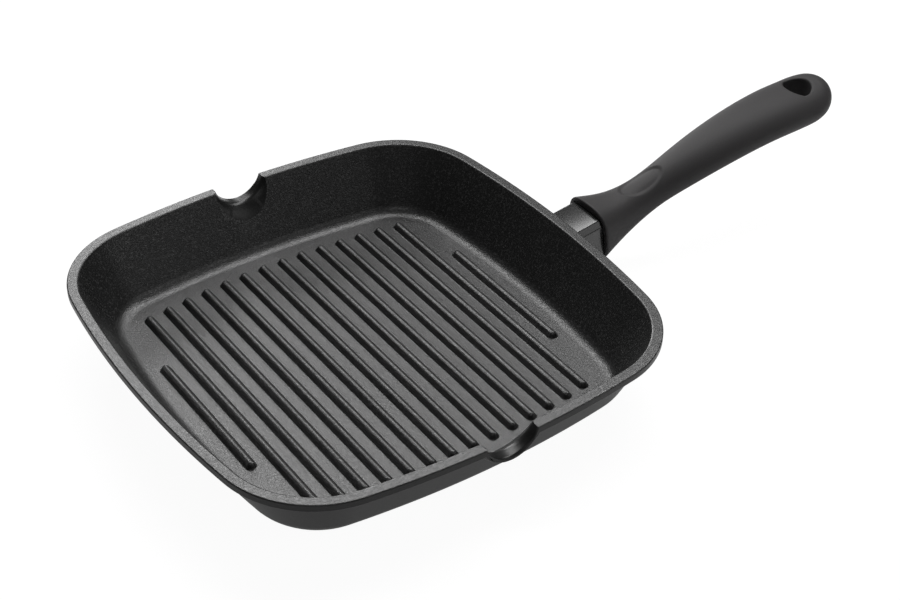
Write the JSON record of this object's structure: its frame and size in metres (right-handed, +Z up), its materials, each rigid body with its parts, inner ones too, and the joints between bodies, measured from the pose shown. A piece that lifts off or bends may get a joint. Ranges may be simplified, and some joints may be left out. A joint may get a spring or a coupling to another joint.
{
  "type": "grill pan",
  "caption": "Square cast grill pan with a ribbed floor, flared walls, a flat rim with two pouring notches and one long moulded handle with a hanging hole.",
  "frame": {"origin": "centre of the flat underside of the pan, under the crossing of its two middle lines", "axes": "+Z up, +X from the middle of the pan along the handle, +Y along the ribs from one pouring notch to the other"},
  "size_m": [0.4552, 0.263, 0.0704],
  "materials": {
    "coated_aluminium": "speckled dark grey non-stick coating, satin",
    "handle_plastic": "black soft-touch moulding",
    "zinc_steel": "bright zinc plating"
  },
  "bodies": {
    "root": {"pan_body": "coated_aluminium", "handle_grip": "handle_plastic", "handle_bolt": "zinc_steel", "flat_washer": "zinc_steel", "spring_washer": "zinc_steel", "thread_insert": "zinc_steel"}
  },
  "joints": []
}
